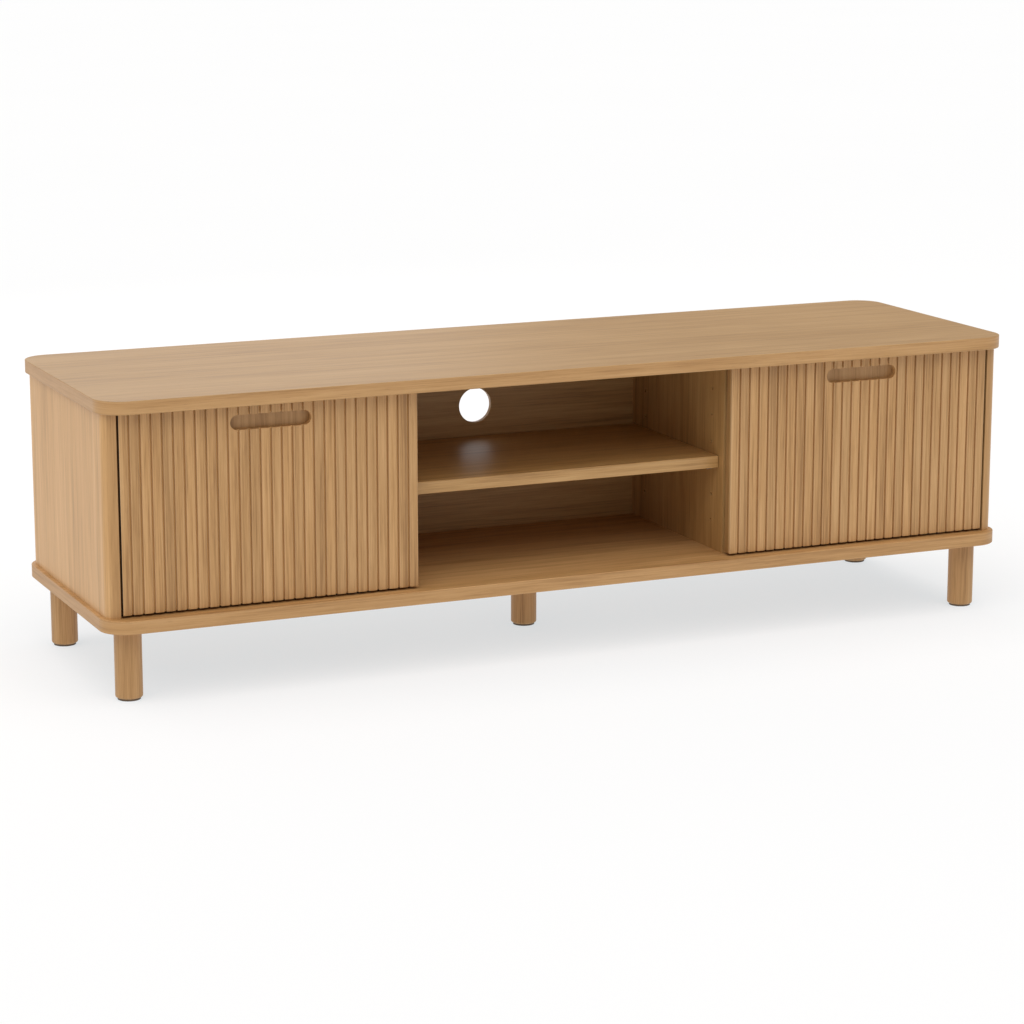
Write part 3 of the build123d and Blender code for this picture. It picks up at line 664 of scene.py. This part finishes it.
def pull_cutter(low, high):
    centre_x, centre_z = (low[0] + high[0]) / 2, high[2] - PULL_DROP
    radius = PULL_HEIGHT / 2
    reach = PULL_LENGTH / 2 - radius
    outline = []
    for end, start in ((1, -90), (-1, 90)):
        for i in range(PULL_STEPS + 1):
            angle = math.radians(start + 180 * i / PULL_STEPS)
            outline.append((centre_x + end * reach + radius * math.cos(angle),
                            centre_z + radius * math.sin(angle)))
    bm = bmesh.new()
    front, back = low[1] - CUTTER_IN_FRONT, high[1] + CUTTER_BEHIND
    face = bm.faces.new([bm.verts.new((x, front, z)) for x, z in outline])
    grown = bmesh.ops.extrude_face_region(bm, geom=[face])
    moved = [v for v in grown["geom"] if isinstance(v, bmesh.types.BMVert)]
    bmesh.ops.translate(bm, verts=moved, vec=(0, back - front, 0))
    return new_piece("pull_cutter", mesh_from(bm, "pull_cutter"))


print("pull", round(PULL_LENGTH / MM), "by", round(PULL_HEIGHT / MM), "mm")

# %% [markdown]
# ### Hanging the facing
# The cut leaves bare faces inside the pull, so the whole facing takes its one finish
# again.  It is shaded smooth, but for the edges that the cutter left sharp, and it
# rides its flap in the place of the frame's plain slats.


# %% Cut the pull and hang the facing on its flap
def smooth_by_angle(obj, degrees=32):
    for face in obj.data.polygons:
        face.use_smooth = True
    obj.data.set_sharp_from_angle(angle=math.radians(degrees))


def one_finish(obj, finish):
    """A cut leaves the cutter's faces bare; every face takes the one finish."""
    obj.data.materials.clear()
    obj.data.materials.append(finish.material)
    for face in obj.data.polygons:
        face.material_index = 0


def fluted_facing(side):
    node = f"{side}_door_slats"
    low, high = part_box(node)
    facing = new_piece(f"{side}_fluted_facing", slat_source[side])
    run_tree(facing, SLAT_JIG, Count=SLAT_COUNT, Pitch=slat_pitch,
             Finish=slat_finish[side].material)
    cutter = pull_cutter(low, high)
    cut = facing.modifiers.new("pull", "BOOLEAN")
    cut.operation, cut.solver, cut.object = "DIFFERENCE", "EXACT", cutter
    bake(facing)
    bpy.data.objects.remove(cutter)
    one_finish(facing, slat_finish[side])
    smooth_by_angle(facing)
    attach(facing, f"{side}_flap")
    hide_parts(node)
    return facing


facings = [fluted_facing(side) for side in SIDES]
print("facings", [(f.name, len(f.data.polygons)) for f in facings])

# %% [markdown]
# ## Screw heads
# The frame's screws are plain pins with a disc on top.  Real ones have a shallow
# domed head with a cross recess, and they are what the eye finds first when a flap
# is open.  The seat of each is read from the frame's own screws: an island of the
# mesh is one screw, its longest side is its length, and its wider end is its head.

# %% Find where each screw sits
END_SLICE = 0.2 * MM
HEAD_SHARE = 0.75            # an end this wide, as a share of the screw, is the head


def islands(mesh):
    """The vertices of each separate solid in a mesh of loose triangles."""
    bm = bmesh.new()
    bm.from_mesh(mesh)
    bmesh.ops.remove_doubles(bm, verts=bm.verts, dist=SAME_PLACE)
    left = set(bm.verts)
    while left:
        stack, group = [left.pop()], []
        while stack:
            v = stack.pop()
            group.append(v.co.copy())
            for e in v.link_edges:
                other = e.other_vert(v)
                if other in left:
                    left.remove(other)
                    stack.append(other)
        yield group
    bm.free()


def screw_seat(points):
    """Where the head's underside sits, and the way the head faces."""
    low = Vector(min(p[i] for p in points) for i in range(3))
    high = Vector(max(p[i] for p in points) for i in range(3))
    size = high - low
    axis = max(range(3), key=lambda i: size[i])
    other = (axis + 1) % 3
    upper_end = [p[other] for p in points if p[axis] > high[axis] - END_SLICE]
    heads_up = max(upper_end) - min(upper_end) > HEAD_SHARE * size[other]
    way = Vector((0, 0, 0))
    way[axis] = 1.0 if heads_up else -1.0
    seat = (low + high) / 2
    seat[axis] = high[axis] if heads_up else low[axis]
    return seat, way


def seats_of(node):
    return [screw_seat(points) for points in islands(frame["nodes"][node].data)]


SCREW_NODES = {"cabinet_fitting_screws": "root", "back_panel_screws": "root",
               "left_door_screws": "left_flap", "right_door_screws": "right_flap"}
seats = {node: seats_of(node) for node in SCREW_NODES}
print("screws", {node: len(found) for node, found in seats.items()})

# %% [markdown]
# ### One screw
# The head and shank are turned from one profile, and a cross of two bars is cut into
# the head.

# %% One screw
HEAD_R = 3.2 * MM
HEAD_T = 1.6 * MM
SHANK_R = 1.5 * MM
SHANK_L = 8.0 * MM
HEAD_SIDES = 20
CROSS_LENGTH = 0.95 * HEAD_R
CROSS_WIDTH = 0.26 * HEAD_R


def screw_object():
    """A screw with its head's top at the origin, facing +Z."""
    profile = [(0.0, 0.0), (0.45 * HEAD_R, -0.03 * HEAD_T), (0.75 * HEAD_R, -0.14 * HEAD_T),
               (0.93 * HEAD_R, -0.40 * HEAD_T), (HEAD_R, -0.75 * HEAD_T), (HEAD_R, -HEAD_T),
               (SHANK_R, -HEAD_T), (SHANK_R, -HEAD_T - SHANK_L),
               (0.0, -HEAD_T - SHANK_L - SHANK_R)]
    bm = bmesh.new()
    line = [bm.verts.new((r, 0, z)) for r, z in profile]
    edges = [bm.edges.new(pair) for pair in zip(line, line[1:])]
    bmesh.ops.spin(bm, geom=line + edges, axis=(0, 0, 1), cent=(0, 0, 0),
                   steps=HEAD_SIDES, angle=2 * math.pi)
    bmesh.ops.remove_doubles(bm, verts=bm.verts, dist=1e-7)
    screw = new_piece("one_screw", mesh_from(bm, "one_screw"))
    bm = bmesh.new()
    for size in ((CROSS_LENGTH, CROSS_WIDTH), (CROSS_WIDTH, CROSS_LENGTH)):
        made = bmesh.ops.create_cube(bm, size=1.0)
        for v in made["verts"]:
            v.co = Vector((v.co.x * size[0], v.co.y * size[1], v.co.z * HEAD_T))
    cross = new_piece("cross_cutter", mesh_from(bm, "cross_cutter"))
    cut = screw.modifiers.new("cross", "BOOLEAN")
    cut.operation, cut.solver, cut.object, cut.use_self = "DIFFERENCE", "EXACT", cross, True
    bake(screw)
    bpy.data.objects.remove(cross)
    smooth_by_angle(screw, 40)
    return screw


ONE_SCREW = screw_object()
print("one screw has", len(ONE_SCREW.data.polygons), "faces")

# %% [markdown]
# ### A tree that drives screws
# The tree puts a screw on each point of a small cloud, turns it so that it faces the
# way stored on the point, and gives each a spin of its own, because no one lines
# screws up.  The seed is fixed, so they stay as they are from run to run.


# %% The screwdriver, as Geometry Nodes
def screwdriver():
    tree, source, result = new_tree("screwdriver", [("Screw", "NodeSocketObject"),
                                                    ("Seed", "NodeSocketInt"),
                                                    ("Finish", "NodeSocketMaterial")])
    make, link = tree.nodes.new, tree.links.new
    facing = make("GeometryNodeInputNamedAttribute")
    facing.data_type = "FLOAT_VECTOR"
    facing.inputs["Name"].default_value = "facing"
    aim = make("FunctionNodeAlignRotationToVector")
    aim.axis = "Z"
    spin = make("FunctionNodeRandomValue")
    spin.data_type = "FLOAT"
    spin.inputs[3].default_value = 2 * math.pi
    info = make("GeometryNodeObjectInfo")
    place = make("GeometryNodeInstanceOnPoints")
    turn = make("GeometryNodeRotateInstances")
    axis = make("ShaderNodeCombineXYZ")
    real = make("GeometryNodeRealizeInstances")
    paint = make("GeometryNodeSetMaterial")
    link(facing.outputs["Attribute"], aim.inputs["Vector"])
    link(source.outputs["Screw"], info.inputs["Object"])
    link(source.outputs["Geometry"], place.inputs["Points"])
    link(info.outputs["Geometry"], place.inputs["Instance"])
    link(aim.outputs[0], place.inputs["Rotation"])
    link(source.outputs["Seed"], spin.inputs["Seed"])
    link(spin.outputs[1], axis.inputs["Z"])
    link(place.outputs[0], turn.inputs["Instances"])
    link(axis.outputs[0], turn.inputs["Rotation"])
    link(turn.outputs[0], real.inputs[0])
    link(real.outputs[0], paint.inputs["Geometry"])
    link(source.outputs["Finish"], paint.inputs["Material"])
    link(paint.outputs[0], result.inputs[0])
    return tree


SCREWDRIVER = screwdriver()
print("screwdriver inputs:", [item.name for item in SCREWDRIVER.interface.items_tree])

# %% [markdown]
# ### Driving them
# One mesh of screws for each body, so that the flaps' own screws swing with them.

# %% Drive the screws
CABINET_SEED = 3
FLAP_SEED = {"left": 5, "right": 6}


def drive(name, found, body, nodes, seed):
    cloud = bpy.data.meshes.new(name)
    cloud.from_pydata([tuple(seat) for seat, _way in found], [], [])
    ways = cloud.attributes.new("facing", "FLOAT_VECTOR", "POINT")
    for i, (_seat, way) in enumerate(found):
        ways.data[i].vector = way
    screws = new_piece(name, cloud)
    run_tree(screws, SCREWDRIVER, Screw=ONE_SCREW, Seed=seed, Finish=steel.material)
    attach(screws, body)
    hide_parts(*nodes)
    return screws


cabinet_seats = seats["cabinet_fitting_screws"] + seats["back_panel_screws"]
drive("cabinet_screws", cabinet_seats, "root",
      ("cabinet_fitting_screws", "back_panel_screws"), CABINET_SEED)
for side in SIDES:
    drive(f"{side}_flap_screws", seats[f"{side}_door_screws"], f"{side}_flap",
          (f"{side}_door_screws",), FLAP_SEED[side])
bpy.data.objects.remove(ONE_SCREW)
print("drove", sum(len(found) for found in seats.values()), "screws")

# %% [markdown]
# ## Floor
# A plain pale floor, lit evenly, so that only the soft shadow under the cabinet tells
# where it stands.  The floor glows a little, as a light table does, so the shadow
# stays pale, and its own tint makes up for the warm light that the oak throws on it.

# %% Floor
FLOOR_HALF = 45.0
FLOOR_DROP = 0.1 * MM
FLOOR_TINT = (0.415, 0.342, 0.302, 1.0)
FLOOR_SHADE = (0.405, 0.334, 0.294, 1.0)
FLOOR_GLOW_TINT = (0.840, 0.960, 1.025, 1.0)
FLOOR_GLOW = 0.645


def pale_floor():
    bm = bmesh.new()
    corners = [(-1, -1), (1, -1), (1, 1), (-1, 1)]
    bm.faces.new([bm.verts.new((x * FLOOR_HALF, y * FLOOR_HALF, cad_low[2] - FLOOR_DROP))
                  for x, y in corners])
    floor = new_piece("pale_floor", mesh_from(bm, "pale_floor"))
    f = Finish("pale_floor")
    cloud = f.noise((0.8, 0.8, 0.8), detail=2.0)
    tint = f.blend(FLOOR_TINT, FLOOR_SHADE, cloud)
    f.set(Base_Color=tint, Roughness=0.75, Emission_Color=FLOOR_GLOW_TINT,
          Emission_Strength=FLOOR_GLOW, Specular_IOR_Level=0.0)
    floor.data.materials.append(f.material)
    return floor


pale_floor()
print("floor at", round(cad_low[2], 4))

# %% [markdown]
# ## Light
# One wide soft light comes from above and a little in front, a softbox behind lays a
# sheen on the left of the top, and a pale sky fills the rest.  The sky lights the oak
# at less than half of the strength with which it is seen, so that a low view meets
# the same white above the floor's far edge.

# %% Light
SKY = 0.40
SKY_SEEN = 1.0
KEY = 2.3
KEY_WAY = Vector((0.15, 0.24, -0.90))
KEY_SOFTNESS = 90.0
BACK_LIGHT = 14.0
BACK_LIGHT_AT = Vector((-0.3, 3.0, 1.75))
BACK_LIGHT_SIZE = (3.4, 1.5)


def pale_sky():
    world = bpy.data.worlds.new("pale_sky")
    world.use_nodes = True
    make, link = world.node_tree.nodes.new, world.node_tree.links.new
    sky = world.node_tree.nodes["Background"]
    sky.inputs["Color"].default_value = (1.0, 1.0, 1.0, 1.0)
    seen = make("ShaderNodeLightPath")
    strength = make("ShaderNodeMapRange")
    strength.inputs["To Min"].default_value = SKY
    strength.inputs["To Max"].default_value = SKY_SEEN
    link(seen.outputs["Is Camera Ray"], strength.inputs["Value"])
    link(strength.outputs[0], sky.inputs["Strength"])
    bpy.context.scene.world = world


def soft_lights():
    lamp = bpy.data.lights.new("key", "SUN")
    lamp.energy = KEY
    lamp.angle = math.radians(KEY_SOFTNESS)
    key = new_piece("key", lamp)
    key.rotation_euler = KEY_WAY.to_track_quat("-Z", "Y").to_euler()
    panel = bpy.data.lights.new("back_light", "AREA")
    panel.energy = BACK_LIGHT
    panel.shape = "RECTANGLE"
    panel.size, panel.size_y = BACK_LIGHT_SIZE
    back = new_piece("back_light", panel)
    back.location = BACK_LIGHT_AT
    back.rotation_euler = (-BACK_LIGHT_AT).to_track_quat("-Z", "Y").to_euler()


pale_sky()
soft_lights()
bpy.context.scene.view_settings.view_transform = "Standard"
print("sky", SKY, "key", KEY, "back light", BACK_LIGHT)

# %% [markdown]
# ## Camera
# It stands to the left and a little above, nearly five metres away, and shows the
# top, the left end and into the middle bay.  A long lens keeps the flutes' spacing
# nearly even from one end to the other.

# %% Camera
CAMERA_AT = (-1.938, -4.348, 1.218)
TURN_RIGHT = 23.80
LOOK_DOWN = 12.28
LENS = 108.1
SENSOR_WIDTH = 36.0
SEES_AS_FAR_AS = 200.0

lens = bpy.data.cameras.new("camera")
lens.lens = LENS
lens.sensor_width = SENSOR_WIDTH
lens.clip_end = SEES_AS_FAR_AS
camera = new_piece("camera", lens)
camera.location = CAMERA_AT
camera.rotation_euler = (math.radians(90 - LOOK_DOWN), 0, math.radians(-TURN_RIGHT))
bpy.context.scene.camera = camera
print("camera at", CAMERA_AT)

# %% [markdown]
